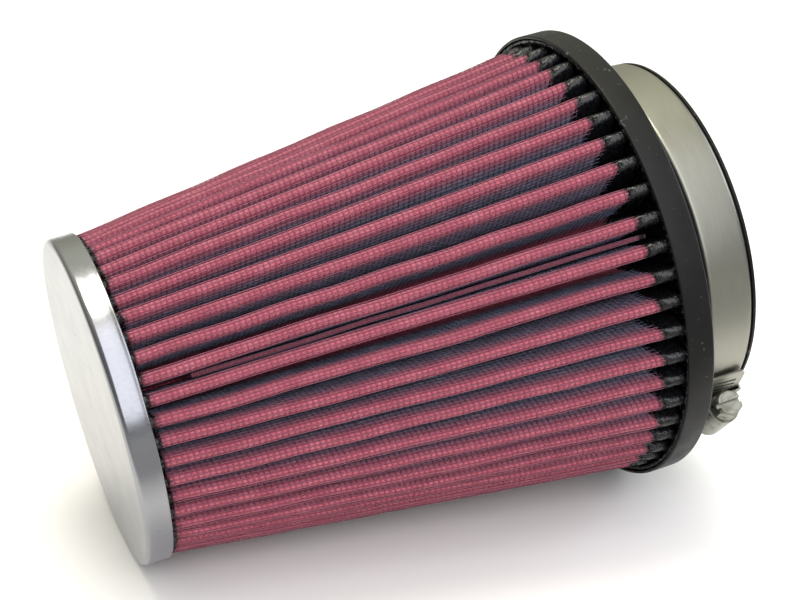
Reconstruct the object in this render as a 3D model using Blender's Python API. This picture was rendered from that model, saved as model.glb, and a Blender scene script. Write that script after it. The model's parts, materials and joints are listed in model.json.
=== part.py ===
"""Clamp-on conical air filter, lying on its side as it comes out of the box.

Every piece is modelled round the filter's own axis, which runs along local +Z from the end cap
(z = 0) to the mouth of the neck.  Local +X is the top of the filter as it lies, and a clock angle
is measured from there towards local +Y.  One empty then lays the whole filter down, so that it
rests on the rim of the cap and on the front edge of the rubber base, with world +Z up.
"""

import math

import bmesh
import bpy
from mathutils import Matrix, Vector

MM = 0.001

# Driving dimensions, all in metres.
SIDES = 64                       # flat sides of each turned piece
CLEARANCE = 0.3 * MM             # between neighbours that rest on each other

CAP_RADIUS = 44.0 * MM
CAP_DEPTH = 7.1 * MM
CAP_WALL = 0.7 * MM
CAP_CORNER = 1.5 * MM
CAP_POTTING_DEPTH = 2.6 * MM

BASE_RADIUS = 63.5 * MM
BASE_FRONT = 140.0 * MM
BASE_BACK = 147.6 * MM
BASE_LIP = 0.9 * MM              # thin rubber lip outside the pleat ends
BASE_LIP_EDGE = 0.5 * MM
BASE_FLOOR = 3.7 * MM            # rubber behind the pleat ends
BASE_EDGE = 0.9 * MM
BASE_POTTING_DEPTH = 1.8 * MM

BORE_RADIUS = 44.45 * MM         # takes an 89 mm spigot
NECK_RADIUS = 48.3 * MM
NECK_END = 169.0 * MM
NECK_EDGE = 0.7 * MM
NECK_FILLET = 1.6 * MM
BEAD_RADIUS = 49.1 * MM          # keeps the clamp from slipping off the neck
BEAD_WIDTH = 1.0 * MM
BEAD_EDGE = 0.4 * MM

PLEATS = 50
PLEAT_DEPTH = 15.3 * MM
PLEAT_CREST = 1.5 * MM           # half the width of a fold's outer edge
PLEAT_VALLEY = 0.3 * MM          # half the width of the gap at the bottom of a fold
FIRST_CREST = math.radians(66.1)
CREST_AT_CAP = 42.9 * MM
CREST_AT_BASE = 61.0 * MM
PLY = 0.13 * MM
PLY_GAP = 0.07 * MM
SCREEN = 0.15 * MM
GAUZE_PLIES = 4

SEAM_CLOCK = FIRST_CREST - math.pi / PLEATS
SEAM_THICKNESS = 0.6 * MM
SEAM_TOP = 3.0 * MM              # below the crests
SEAM_FOOT = 8.5 * MM
SEAM_START = 20.0 * MM
SEAM_END = 137.0 * MM

BAND_WIDTH = 12.7 * MM
BAND_MIDDLE = 161.35 * MM
BAND_THICKNESS = 0.6 * MM
BAND_GAP = 0.25 * MM
SADDLE_THICKNESS = 0.4 * MM
SADDLE_LENGTH = 17.0 * MM
HOUSING_CLOCK = math.radians(138.0)
HOUSING_LENGTH = 13.0 * MM
HOUSING_SHEET = 0.6 * MM
BAND_FIXED_END = math.radians(150.0)
BAND_FAR_END = math.radians(172.0 - 360.0)
TAIL_FREE_END = math.radians(120.0)
TAIL_LAP_END = math.radians(191.0)
WORM_RADIUS = 3.6 * MM
SCREW_HEAD_RADIUS = 4.0 * MM
SCREW_HEAD_LENGTH = 4.5 * MM
SCREW_SHANK_RADIUS = 2.2 * MM
SCREW_TIP_LENGTH = 1.3 * MM
SCREW_SIDES = 24
ARCH_SIDES = 12

# Places worked out from the driving dimensions.
MEDIA_START = CAP_WALL + CLEARANCE + CAP_POTTING_DEPTH + CLEARANCE
CHANNEL_FLOOR = BASE_BACK - BASE_FLOOR
MEDIA_END = CHANNEL_FLOOR - BASE_POTTING_DEPTH - 2.0 * CLEARANCE
CREST_SLOPE = (CREST_AT_BASE - CREST_AT_CAP) / (MEDIA_END - CAP_DEPTH)
BAND_RADIUS = NECK_RADIUS + BAND_GAP
SADDLE_RADIUS = BAND_RADIUS + BAND_THICKNESS + BAND_GAP
TAIL_RADIUS = SADDLE_RADIUS + SADDLE_THICKNESS + BAND_GAP
SCREW_AXIS_RADIUS = TAIL_RADIUS + BAND_THICKNESS + CLEARANCE + WORM_RADIUS
LYING_TILT = math.atan2(
    (BASE_RADIUS - CAP_RADIUS) * math.cos(math.pi / SIDES),
    BASE_FRONT + BASE_LIP_EDGE - CAP_DEPTH,
)


def clear_scene():
    """Start from an empty file."""
    for old in list(bpy.data.objects):
        bpy.data.objects.remove(old, do_unlink=True)


def finish(name, colour, roughness, metallic=0.0):
    """A plain Principled material."""
    material = bpy.data.materials.new(name)
    material.use_nodes = True
    shader = material.node_tree.nodes["Principled BSDF"]
    shader.inputs["Base Color"].default_value = (*colour, 1.0)
    shader.inputs["Roughness"].default_value = roughness
    shader.inputs["Metallic"].default_value = metallic
    return material


def empty(name, parent=None, location=(0.0, 0.0, 0.0), rotation=None):
    """An empty that carries pieces; its origin is a joint's axis where it has one."""
    holder = bpy.data.objects.new(name, None)
    bpy.context.collection.objects.link(holder)
    holder.parent = parent
    holder.location = location
    if rotation is not None:
        holder.rotation_euler = rotation.to_euler()
    return holder


def add_piece(name, bm, material, parent):
    """Turn a bmesh into a named object with outward faces and smooth round sides."""
    bmesh.ops.recalc_face_normals(bm, faces=bm.faces)
    mesh = bpy.data.meshes.new(name)
    bm.to_mesh(mesh)
    bm.free()
    mesh.shade_smooth()
    mesh.set_sharp_from_angle(angle=math.radians(35.0))
    mesh.materials.append(material)
    piece = bpy.data.objects.new(name, mesh)
    bpy.context.collection.objects.link(piece)
    piece.parent = parent
    return piece


def turned(profile, sides=SIDES):
    """Spin a closed (radius, height) outline round the local Z axis.

    The spin starts half a side late, so that a flat side, not a corner, is at the bottom.
    """
    bm = bmesh.new()
    start = Matrix.Rotation(math.pi / sides, 3, "Z")
    verts = [bm.verts.new(start @ Vector((radius, 0.0, height))) for radius, height in profile]
    loop = list(zip(verts, verts[1:] + verts[:1]))
    on_axis = [(a, b) for a, b in loop if a.co.xy.length < 1e-9 and b.co.xy.length < 1e-9]
    edges = [bm.edges.new(pair) for pair in loop if pair not in on_axis]
    bmesh.ops.spin(
        bm, geom=verts + edges, axis=(0.0, 0.0, 1.0), cent=(0.0, 0.0, 0.0),
        angle=2.0 * math.pi, steps=sides, use_merge=True,
    )
    bmesh.ops.remove_doubles(bm, verts=bm.verts, dist=1e-6)
    return bm


def sleeve(outer, inner):
    """Close the space between two lofted walls, each given by its (start, end) outlines.

    The walls' slightly twisted panels are split along the same diagonal inside and outside,
    so neighbouring sleeves stay parallel.
    """
    bm = bmesh.new()
    start, end = [[bm.verts.new(point) for point in section] for section in outer]
    inner_start, inner_end = [[bm.verts.new(point) for point in section] for section in inner]
    count = len(start)
    for i in range(count):
        j = (i + 1) % count
        for near, far in ((start, end), (inner_start, inner_end)):
            bm.faces.new((near[i], near[j], far[j]))
            bm.faces.new((near[i], far[j], far[i]))
        bm.faces.new((start[i], start[j], inner_start[j], inner_start[i]))
        bm.faces.new((end[i], end[j], inner_end[j], inner_end[i]))
    return bm


def extruded(outline, start, end, place):
    """Extrude a flat outline of (x, y) points from z = start to z = end, then place it."""
    bm = bmesh.new()
    verts = [bm.verts.new((x, y, start)) for x, y in outline]
    face = bm.faces.new(verts)
    grown = bmesh.ops.extrude_face_region(bm, geom=[face])
    moved = [item for item in grown["geom"] if isinstance(item, bmesh.types.BMVert)]
    bmesh.ops.translate(bm, verts=moved, vec=(0.0, 0.0, end - start))
    bmesh.ops.transform(bm, matrix=place, verts=bm.verts)
    return bm


def arc(centre, radius, start, end, steps):
    """Points on an arc in the plane, both ends included."""
    turns = [start + (end - start) * i / steps for i in range(steps + 1)]
    return [(centre[0] + radius * math.cos(a), centre[1] + radius * math.sin(a)) for a in turns]


def polar(radius, clock, height):
    """A point at a clock angle round the filter's axis."""
    return Vector((radius * math.cos(clock), radius * math.sin(clock), height))


def crest_radius(height):
    """Radius of the outer edges of the folds."""
    return CREST_AT_CAP + CREST_SLOPE * (height - CAP_DEPTH)


def pleat_section(height, inset):
    """The folded sheet's outline at one height, moved in by inset from its outer face."""
    crest = crest_radius(height) - inset
    valley = crest_radius(height) - PLEAT_DEPTH - inset
    crest_turn = (PLEAT_CREST - inset) / crest
    valley_turn = (PLEAT_VALLEY + inset) / valley
    pitch = 2.0 * math.pi / PLEATS
    points = []
    for i in range(PLEATS):
        middle = FIRST_CREST + i * pitch
        points.append(polar(crest, middle - crest_turn, height))
        points.append(polar(crest, middle + crest_turn, height))
        points.append(polar(valley, middle + 0.5 * pitch - valley_turn, height))
        points.append(polar(valley, middle + 0.5 * pitch + valley_turn, height))
    return points


def pleated_layer(name, inset, thickness, material, parent):
    """One ply of the folded pack, a closed sleeve from the cap to the base."""
    outer = [pleat_section(height, inset) for height in (MEDIA_START, MEDIA_END)]
    inner = [pleat_section(height, inset + thickness) for height in (MEDIA_START, MEDIA_END)]
    return add_piece(name, sleeve(outer, inner), material, parent)


def build_media(root, mesh_metal, cotton):
    """Two wire screens with the cotton gauze plies between them."""
    pleated_layer("outer_screen", 0.0, SCREEN, mesh_metal, root)
    inset = SCREEN + PLY_GAP
    for number in range(GAUZE_PLIES):
        pleated_layer(f"gauze_ply_{number + 1}", inset, PLY, cotton, root)
        inset += PLY + PLY_GAP
    pleated_layer("inner_screen", inset, SCREEN, mesh_metal, root)


def build_seam_strip(root, cotton):
    """The narrow upright fold where the two ends of the pleated sheet are joined."""
    corners = []
    for height in (SEAM_START, SEAM_END):
        top = crest_radius(height) - SEAM_TOP
        foot = crest_radius(height) - SEAM_FOOT
        ring = []
        for radius, side in ((foot, -0.5), (top, -0.5), (top, 0.5), (foot, 0.5)):
            ring.append(polar(radius, SEAM_CLOCK + side * SEAM_THICKNESS / radius, height))
        corners.append(ring)
    bm = bmesh.new()
    near, far = [[bm.verts.new(point) for point in ring] for ring in corners]
    bm.faces.new(near)
    bm.faces.new(far)
    for i in range(4):
        j = (i + 1) % 4
        bm.faces.new((near[i], near[j], far[j], far[i]))
    add_piece("seam_strip", bm, cotton, root)


def build_end_cap(root, steel, rubber):
    """The pressed steel cup, and the sealant that bonds the pleats into it."""
    corner = arc((CAP_RADIUS - CAP_CORNER, CAP_CORNER), CAP_CORNER, -0.5 * math.pi, 0.0, 3)
    inner = CAP_CORNER - CAP_WALL
    hollow = arc((CAP_RADIUS - CAP_CORNER, CAP_CORNER), inner, 0.0, -0.5 * math.pi, 1)
    profile = [(0.0, 0.0)]
    profile += corner
    profile += [(CAP_RADIUS, CAP_DEPTH), (CAP_RADIUS - CAP_WALL, CAP_DEPTH)]
    profile += hollow
    profile += [(0.0, CAP_WALL)]
    add_piece("end_cap", turned(profile), steel, root)

    rim = CAP_RADIUS - CAP_WALL - CLEARANCE
    bottom = CAP_WALL + CLEARANCE
    top = bottom + CAP_POTTING_DEPTH
    chamfer = CAP_CORNER - CAP_WALL
    disc = [(0.0, bottom), (rim - chamfer, bottom), (rim, bottom + chamfer), (rim, top), (0.0, top)]
    add_piece("cap_potting", turned(disc), rubber, root)


def build_base(root, rubber):
    """The moulded base ring with its neck, and the sealant that fills its channel.

    The sealant lies under the ends of the pleats and rises between their crests and the lip.
    """
    lip = BASE_RADIUS - BASE_LIP
    inner_lip = BORE_RADIUS
    profile = [
        (lip, BASE_FRONT),
        (BASE_RADIUS - BASE_LIP_EDGE, BASE_FRONT),
        (BASE_RADIUS, BASE_FRONT + BASE_LIP_EDGE),
        (BASE_RADIUS, BASE_BACK - BASE_EDGE),
        (BASE_RADIUS - BASE_EDGE, BASE_BACK),
        (NECK_RADIUS + NECK_FILLET, BASE_BACK),
        (NECK_RADIUS, BASE_BACK + NECK_FILLET),
        (NECK_RADIUS, NECK_END - BEAD_WIDTH),
        (BEAD_RADIUS, NECK_END - BEAD_WIDTH),
        (BEAD_RADIUS, NECK_END - BEAD_EDGE),
        (BEAD_RADIUS - BEAD_EDGE, NECK_END),
        (inner_lip + NECK_EDGE, NECK_END),
        (inner_lip, NECK_END - NECK_EDGE),
        (inner_lip, CHANNEL_FLOOR),
        (lip, CHANNEL_FLOOR),
    ]
    add_piece("rubber_base", turned(profile), rubber, root)

    top = CHANNEL_FLOOR - CLEARANCE
    bottom = top - BASE_POTTING_DEPTH
    outer = lip - CLEARANCE
    rim = CREST_AT_BASE + CLEARANCE
    rim_top = BASE_FRONT + CLEARANCE
    ring = [
        (inner_lip, bottom), (rim, bottom), (rim, rim_top), (outer, rim_top),
        (outer, top), (inner_lip, top),
    ]
    add_piece("base_potting", turned(ring), rubber, root)


def strip(radius, start, end, thickness, width):
    """A curved strip round the neck, from one clock angle to another."""
    steps = max(2, math.ceil(abs(end - start) / (2.0 * math.pi / SIDES)))
    low = BAND_MIDDLE - 0.5 * width
    high = BAND_MIDDLE + 0.5 * width
    bm = bmesh.new()
    rings = []
    for i in range(steps + 1):
        clock = start + (end - start) * i / steps
        corners = (
            (radius, low), (radius + thickness, low), (radius + thickness, high), (radius, high),
        )
        rings.append([bm.verts.new(polar(r, clock, height)) for r, height in corners])
    bm.faces.new(rings[0])
    bm.faces.new(rings[-1])
    for ring, following in zip(rings, rings[1:]):
        for i in range(4):
            j = (i + 1) % 4
            bm.faces.new((ring[i], ring[j], following[j], following[i]))
    return bm


def housing_outline():
    """Section of the worm housing: x is out from the filter's axis, y is along it."""
    edge = 0.5 * BAND_WIDTH + BAND_GAP
    foot = SADDLE_RADIUS
    roof = TAIL_RADIUS + BAND_THICKNESS + BAND_GAP
    inner = WORM_RADIUS + CLEARANCE
    outer = inner + HOUSING_SHEET
    shoulder = roof + HOUSING_SHEET
    centre = (SCREW_AXIS_RADIUS, 0.0)
    over = arc(centre, outer, math.radians(-80.0), math.radians(80.0), ARCH_SIDES)
    under = arc(centre, inner, math.radians(80.0), math.radians(-80.0), ARCH_SIDES)
    outline = [(foot, -edge - HOUSING_SHEET), (shoulder, -edge - HOUSING_SHEET), (shoulder, -outer)]
    outline += over
    outline += [(shoulder, outer), (shoulder, edge + HOUSING_SHEET), (foot, edge + HOUSING_SHEET)]
    outline += [(foot, edge), (roof, edge), (roof, inner)]
    outline += under
    outline += [(roof, -inner), (roof, -edge), (foot, -edge)]
    return outline


def clamp_frame(radius):
    """Matrix at the housing: x out from the axis, y along it, z along the screw to its head."""
    out = polar(1.0, HOUSING_CLOCK, 0.0)
    along = Vector((0.0, 0.0, 1.0))
    to_head = out.cross(along)
    turn = Matrix((out, along, to_head)).transposed().to_4x4()
    return Matrix.Translation(out * radius + along * BAND_MIDDLE) @ turn


def build_clamp(swivel, steel):
    """The band round the neck, with the housing and its saddle fixed to one end."""
    band = strip(BAND_RADIUS, BAND_FIXED_END, BAND_FAR_END, BAND_THICKNESS, BAND_WIDTH)
    add_piece("clamp_band", band, steel, swivel)
    half_turn = 0.5 * SADDLE_LENGTH / SADDLE_RADIUS
    saddle = strip(
        SADDLE_RADIUS, HOUSING_CLOCK - half_turn, HOUSING_CLOCK + half_turn,
        SADDLE_THICKNESS, BAND_WIDTH,
    )
    add_piece("clamp_saddle", saddle, steel, swivel)
    half = 0.5 * HOUSING_LENGTH
    housing = extruded(housing_outline(), -half, half, clamp_frame(0.0))
    add_piece("clamp_housing", housing, steel, swivel)


def build_tail(feed, steel):
    """The slotted end of the band, which the worm draws through the housing."""
    tail = strip(TAIL_RADIUS, TAIL_LAP_END, TAIL_FREE_END, BAND_THICKNESS, BAND_WIDTH)
    add_piece("clamp_tail", tail, steel, feed)


def build_screw(axis, steel):
    """The worm screw, turned round local Z with its head at +Z, and a slot across the head."""
    half = 0.5 * HOUSING_LENGTH - CLEARANCE
    collar = half + 2.0 * CLEARANCE
    head = collar + SCREW_HEAD_LENGTH
    edge = 0.4 * MM
    profile = [
        (0.0, -half - SCREW_TIP_LENGTH),
        (SCREW_SHANK_RADIUS, -half - SCREW_TIP_LENGTH),
        (SCREW_SHANK_RADIUS, -half),
        (WORM_RADIUS, -half),
        (WORM_RADIUS, half),
        (SCREW_SHANK_RADIUS, half),
        (SCREW_SHANK_RADIUS, collar),
        (SCREW_HEAD_RADIUS, collar),
        (SCREW_HEAD_RADIUS, head - edge),
        (SCREW_HEAD_RADIUS - edge, head),
        (0.0, head),
    ]
    add_piece("clamp_screw", turned(profile, SCREW_SIDES), steel, axis)


def lay_down(root):
    """Stand the filter on the ground with its footprint centred on the world origin."""
    bpy.context.view_layer.update()
    corners = []
    for piece in bpy.data.objects:
        if piece.type == "MESH":
            corners += [piece.matrix_world @ vertex.co for vertex in piece.data.vertices]
    low = [min(corner[i] for corner in corners) for i in range(3)]
    high = [max(corner[i] for corner in corners) for i in range(3)]
    root.location = (-0.5 * (low[0] + high[0]), -0.5 * (low[1] + high[1]), -low[2])
    bpy.context.view_layer.update()


def main():
    """Build the filter, then lay it on its side."""
    clear_scene()
    steel = finish("stainless_steel", (0.55, 0.54, 0.50), 0.28, 1.0)
    cap_steel = finish("polished_steel", (0.66, 0.65, 0.63), 0.22, 1.0)
    rubber = finish("moulded_rubber", (0.022, 0.022, 0.021), 0.55)
    mesh_metal = finish("coated_wire_mesh", (0.045, 0.050, 0.070), 0.40, 0.6)
    cotton = finish("oiled_cotton", (0.33, 0.035, 0.060), 0.60)

    # Local Z goes along the filter and rises by the tilt; local X points up, local Y at -Y.
    along = Vector((math.cos(LYING_TILT), 0.0, math.sin(LYING_TILT)))
    up = Vector((-math.sin(LYING_TILT), 0.0, math.cos(LYING_TILT)))
    lying = Matrix((up, along.cross(up), along)).transposed()
    root = empty("filter_axis", rotation=lying)
    swivel = empty("clamp_swivel_axis", root)
    feed = empty("tail_feed_axis", swivel)
    screw_place = clamp_frame(SCREW_AXIS_RADIUS)
    screw_axis = empty(
        "screw_turn_axis", swivel, screw_place.to_translation(), screw_place.to_3x3(),
    )

    build_end_cap(root, cap_steel, rubber)
    build_media(root, mesh_metal, cotton)
    build_seam_strip(root, cotton)
    build_base(root, rubber)
    build_clamp(swivel, steel)
    build_tail(feed, steel)
    build_screw(screw_axis, steel)
    lay_down(root)


main()
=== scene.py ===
"""Looks of a clamp-on cone air filter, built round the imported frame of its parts.

Every new piece is modelled in the filter's own space: z runs along its axis from the face of the
cap to the mouth of the neck, x points to the top of the filter as it lies, and a clock angle goes
from x towards y, which is the side that faces the camera.
"""

import json
import logging
import math
from dataclasses import dataclass, field
from enum import Enum
from typing import Any, Sequence

import bpy
import numpy as np
from mathutils import Matrix, Vector

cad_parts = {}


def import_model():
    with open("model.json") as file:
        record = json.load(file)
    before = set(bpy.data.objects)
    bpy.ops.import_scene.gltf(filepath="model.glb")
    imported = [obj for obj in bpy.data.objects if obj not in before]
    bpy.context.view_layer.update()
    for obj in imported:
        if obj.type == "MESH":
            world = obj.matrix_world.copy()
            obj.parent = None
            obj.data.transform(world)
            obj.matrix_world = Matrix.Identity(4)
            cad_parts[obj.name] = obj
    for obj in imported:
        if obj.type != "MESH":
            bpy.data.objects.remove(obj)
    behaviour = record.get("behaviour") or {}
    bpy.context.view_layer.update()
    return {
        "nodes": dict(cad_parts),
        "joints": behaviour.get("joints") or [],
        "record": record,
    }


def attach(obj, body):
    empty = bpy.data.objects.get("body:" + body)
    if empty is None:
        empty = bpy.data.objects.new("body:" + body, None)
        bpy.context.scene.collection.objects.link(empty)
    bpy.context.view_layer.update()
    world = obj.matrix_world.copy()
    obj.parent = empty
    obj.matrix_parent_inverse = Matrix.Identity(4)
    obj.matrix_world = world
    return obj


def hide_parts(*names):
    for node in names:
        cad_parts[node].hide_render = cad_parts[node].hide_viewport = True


MM = 0.001
ALL_SMOOTH = 180.0             # a crease angle in degrees that leaves no edge sharp
WIRE_PITCH = 1.45 * MM         # between the wires of a screen, about 18 to the inch
LOG = logging.getLogger("air_filter")

Array = np.ndarray
Outline = list[tuple[float, float]]
Tree = bpy.types.NodeTree
Socket = bpy.types.NodeSocket


class Body(Enum):
    """The moving bodies that pieces ride on."""

    FILTER = "filter"
    CLAMP = "clamp"
    BAND_END = "band_end"
    SCREW = "screw"


class Slot(Enum):
    """The record's material slots."""

    CAP_STEEL = "cap_steel"
    CLAMP_STEEL = "clamp_steel"
    SCREW_STEEL = "screw_steel"
    COATED_MESH = "coated_mesh"
    OILED_COTTON = "oiled_cotton"
    SEALANT = "sealant"
    RUBBER = "rubber"


# ---------------------------------------------------------------------------------------------
# Materials
# ---------------------------------------------------------------------------------------------


def linear(hex_colour: str) -> tuple[float, float, float, float]:
    """Turn an sRGB hex colour into the linear colour that a shader takes.

    Args:
        hex_colour: Six hex digits with a leading hash.

    Returns:
        Red, green, blue and alpha.
    """
    parts = [int(hex_colour[i : i + 2], 16) / 255.0 for i in (1, 3, 5)]
    red, green, blue = [c / 12.92 if c <= 0.04045 else ((c + 0.055) / 1.055) ** 2.4 for c in parts]
    return (red, green, blue, 1.0)


def add_node(
    tree: Tree,
    kind: str,
    inputs: dict[str | int, Any] | None = None,
    out: str | int = 0,
    stops: Sequence[tuple[float, str]] = (),
    **settings: Any,
) -> Socket:
    """Add one node with its settings, its values and its links.

    Args:
        tree: The node tree to add to.
        kind: Blender's name for the kind of node, less its ShaderNode.
        inputs: A value, or the socket that feeds it, for each input by name or number.
        out: The output to give back, by name or number.
        stops: Position and hex colour of each stop of a colour ramp, from low to high.
        **settings: The node's own settings, such as operation.

    Returns:
        The output asked for.
    """
    node = tree.nodes.new("ShaderNode" + kind)
    for key, value in settings.items():
        setattr(node, key, value)
    for key, value in (inputs or {}).items():
        if isinstance(value, bpy.types.NodeSocket):
            tree.links.new(value, node.inputs[key])
        else:
            node.inputs[key].default_value = value
    for i, (position, colour) in enumerate(stops):
        elements = node.color_ramp.elements
        element = elements[i] if i < len(elements) else elements.new(position)
        element.position = position
        element.color = linear(colour)
    return node.outputs[out]


def own_place(tree: Tree, lying: Matrix | None) -> Socket:
    """Give a point's place in the filter's own space, for patterns that follow its shape.

    Args:
        tree: The node tree to add to.
        lying: The matrix from the filter's space to the frame, or None to stay in the frame.

    Returns:
        The socket with the place.
    """
    place = add_node(tree, "TexCoord", out="Object")
    if lying is None:
        return place
    back = lying.inverted()
    turned_back = {"Vector": place, "Location": back.translation, "Rotation": back.to_euler()}
    return add_node(tree, "Mapping", turned_back)


@dataclass(frozen=True)
class Finish:
    """What a material is made of and how its surface was made."""

    name: str = "plain"
    colour: str = "#808080"
    metallic: float = 0.0
    roughness: float = 0.5

    def pattern(self, tree: Tree, place: Socket) -> dict[str, Socket]:
        """Give what varies over the surface, by the shader's input that it feeds.

        Args:
            tree: The node tree to add to.
            place: The place of the point.

        Returns:
            The sockets, by the name of the input.
        """
        return {}

    def constants(self) -> dict[str, Any]:
        """Give the shader's other constants, by the name of the input."""
        return {}

    def material(self, lying: Matrix | None = None) -> bpy.types.Material:
        """Make the material.

        Args:
            lying: The matrix from the filter's space to the frame, for its patterns.

        Returns:
            The finished material.
        """
        material = bpy.data.materials.new(self.name)
        material.use_nodes = True
        tree = material.node_tree
        inputs = tree.nodes["Principled BSDF"].inputs
        inputs["Base Color"].default_value = linear(self.colour)
        inputs["Metallic"].default_value = self.metallic
        inputs["Roughness"].default_value = self.roughness
        for name, value in self.constants().items():
            inputs[name].default_value = value
        for name, socket in self.pattern(tree, own_place(tree, lying)).items():
            tree.links.new(socket, inputs[name])
        return material


@dataclass(frozen=True)
class PolishedSteel(Finish):
    """Deep-drawn steel, belt polished: a soft mirror with hair lines and a slightly uneven gloss."""

    name: str = "steel_drawn_and_polished"
    colour: str = "#999A9F"
    metallic: float = 1.0
    roughness: float = 0.2
    stroke: float = 0.35 * MM      # width of a polishing line, coarser than real so that it shows
    stretch: tuple[float, float, float] = (1.0, 0.04, 0.3)
    wave: float = 14.0 * MM        # width of the soft waves that drawing leaves in the sheet

    def pattern(self, tree: Tree, place: Socket) -> dict[str, Socket]:
        """Put the lines and the waves into the gloss and the surface."""
        along = add_node(tree, "Mapping", {"Vector": place, "Scale": self.stretch})
        fine = {"Vector": along, "Scale": 1.0 / self.stroke, "Detail": 3.0, "Roughness": 0.6}
        lines = add_node(tree, "TexNoise", fine)
        broad = {"Vector": place, "Scale": 1.0 / self.wave, "Detail": 2.0}
        waves = add_node(tree, "TexNoise", broad)
        both = add_node(tree, "Math", {0: waves, 1: 0.5, 2: lines}, operation="MULTIPLY_ADD")
        gloss = add_node(
            tree, "MapRange",
            {"Value": both, "From Min": 0.4, "From Max": 1.1, "To Min": self.roughness * 0.75,
             "To Max": self.roughness * 1.5},
        )
        low = add_node(tree, "Bump", {"Height": waves, "Strength": 0.09, "Distance": 1.5 * MM})
        bump = add_node(
            tree, "Bump", {"Height": lines, "Strength": 0.05, "Distance": 0.06 * MM, "Normal": low}
        )
        return {"Roughness": gloss, "Normal": bump}


@dataclass(frozen=True)
class RolledStrip(Finish):
    """Stainless strip, cold rolled: a satin grey with fine lines that run round the band."""

    name: str = "stainless_strip_cold_rolled"
    colour: str = "#9E9E94"
    between_lines: str = "#96958B"
    metallic: float = 1.0
    roughness: float = 0.4
    line: float = 0.3 * MM         # width of a rolling line, coarser than real so that it shows
    stretch: tuple[float, float, float] = (0.05, 0.05, 1.0)

    def pattern(self, tree: Tree, place: Socket) -> dict[str, Socket]:
        """Put the rolling lines into the colour, the gloss and the surface."""
        around = add_node(tree, "Mapping", {"Vector": place, "Scale": self.stretch})
        fine = {"Vector": around, "Scale": 1.0 / self.line, "Detail": 4.0, "Roughness": 0.65}
        lines = add_node(tree, "TexNoise", fine)
        gloss = add_node(
            tree, "MapRange",
            {"Value": lines, "From Min": 0.3, "From Max": 0.7, "To Min": self.roughness * 0.9,
             "To Max": self.roughness * 1.15},
        )
        tones = ((0.3, self.between_lines), (0.7, self.colour))
        tone = add_node(tree, "ValToRGB", {"Fac": lines}, stops=tones)
        bump = add_node(tree, "Bump", {"Height": lines, "Strength": 0.04, "Distance": 0.05 * MM})
        return {"Base Color": tone, "Roughness": gloss, "Normal": bump}


@dataclass(frozen=True)
class PlatedSteel(Finish):
    """Turned steel with a bright zinc plate: cloudy gloss with a faint warm bloom."""

    name: str = "steel_zinc_plated"
    colour: str = "#A6A69B"
    bloomed: str = "#88877B"
    metallic: float = 1.0
    roughness: float = 0.3
    bloom: float = 1.6 * MM        # width of a cloud in the plating

    def pattern(self, tree: Tree, place: Socket) -> dict[str, Socket]:
        """Put the clouds into the colour and the gloss."""
        broad = {"Vector": place, "Scale": 1.0 / self.bloom, "Detail": 4.0}
        clouds = add_node(tree, "TexNoise", broad)
        tones = ((0.35, self.bloomed), (0.6, self.colour))
        tone = add_node(tree, "ValToRGB", {"Fac": clouds}, stops=tones)
        gloss = add_node(
            tree, "MapRange",
            {"Value": clouds, "From Min": 0.3, "From Max": 0.7, "To Min": self.roughness * 0.8,
             "To Max": self.roughness * 1.6},
        )
        return {"Base Color": tone, "Roughness": gloss}


@dataclass(frozen=True)
class Wicked:
    """Where the sealant has soaked up the pleats from both ends."""

    small_end: float = 10.1 * MM
    large_end: float = 136.1 * MM
    edge: float = 0.7 * MM         # half the width of the soaked edge
    wander: float = 2.6 * MM       # size of the bays in the edge
    reach: float = 3.0 * MM        # how far a bay goes in

    def share(self, tree: Tree, place: Socket) -> Socket:
        """Give 1 where the pleats are soaked and 0 between, with a wandering edge.

        Args:
            tree: The node tree to add to.
            place: The place of the point.

        Returns:
            The socket with the share.
        """
        height = add_node(tree, "SeparateXYZ", {0: place}, "Z")
        broad = {"Vector": place, "Scale": 1.0 / self.wander, "Detail": 2.0}
        bays = add_node(tree, "TexNoise", broad)
        moved = add_node(tree, "Math", {0: bays, 1: self.reach, 2: height}, operation="MULTIPLY_ADD")
        ends = []
        for end, way in ((self.large_end, self.edge), (self.small_end, -self.edge)):
            limits = {"Value": moved, "From Min": end - way, "From Max": end + way}
            ends.append(add_node(tree, "MapRange", limits))
        return add_node(tree, "Math", dict(enumerate(ends)), operation="MAXIMUM")


@dataclass(frozen=True)
class FoldDepth:
    """How far down a fold a point lies, from outside or from inside, whichever is nearer."""

    crest_at_zero: float = 41.93 * MM  # radius of the crests at height 0, within 0.02 mm
    slope: float = 0.13467         # rise of the crests for each metre along the axis
    through: float = 15.3 * MM     # from the outer crests to the inner ones
    start: float = 0.5 * MM
    full: float = 5.6 * MM

    def share(self, tree: Tree, place: Socket) -> Socket:
        """Give 0 on the crests and 1 deep in the folds.

        Args:
            tree: The node tree to add to.
            place: The place of the point.

        Returns:
            The socket with the share.
        """
        flat = add_node(tree, "VectorMath", {0: place, 1: (1.0, 1.0, 0.0)}, operation="MULTIPLY")
        radius = add_node(tree, "VectorMath", {0: flat}, "Value", operation="LENGTH")
        height = add_node(tree, "SeparateXYZ", {0: place}, "Z")
        rise = {0: height, 1: self.slope, 2: self.crest_at_zero}
        crest = add_node(tree, "Math", rise, operation="MULTIPLY_ADD")
        depth = add_node(tree, "Math", {0: crest, 1: radius}, operation="SUBTRACT")
        inside = add_node(tree, "Math", {0: self.through, 1: depth}, operation="SUBTRACT")
        nearer = add_node(tree, "Math", {0: depth, 1: inside}, operation="MINIMUM")
        limits = {"Value": nearer, "From Min": self.start, "From Max": self.full}
        return add_node(tree, "MapRange", limits, interpolation_type="SMOOTHSTEP")


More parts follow.
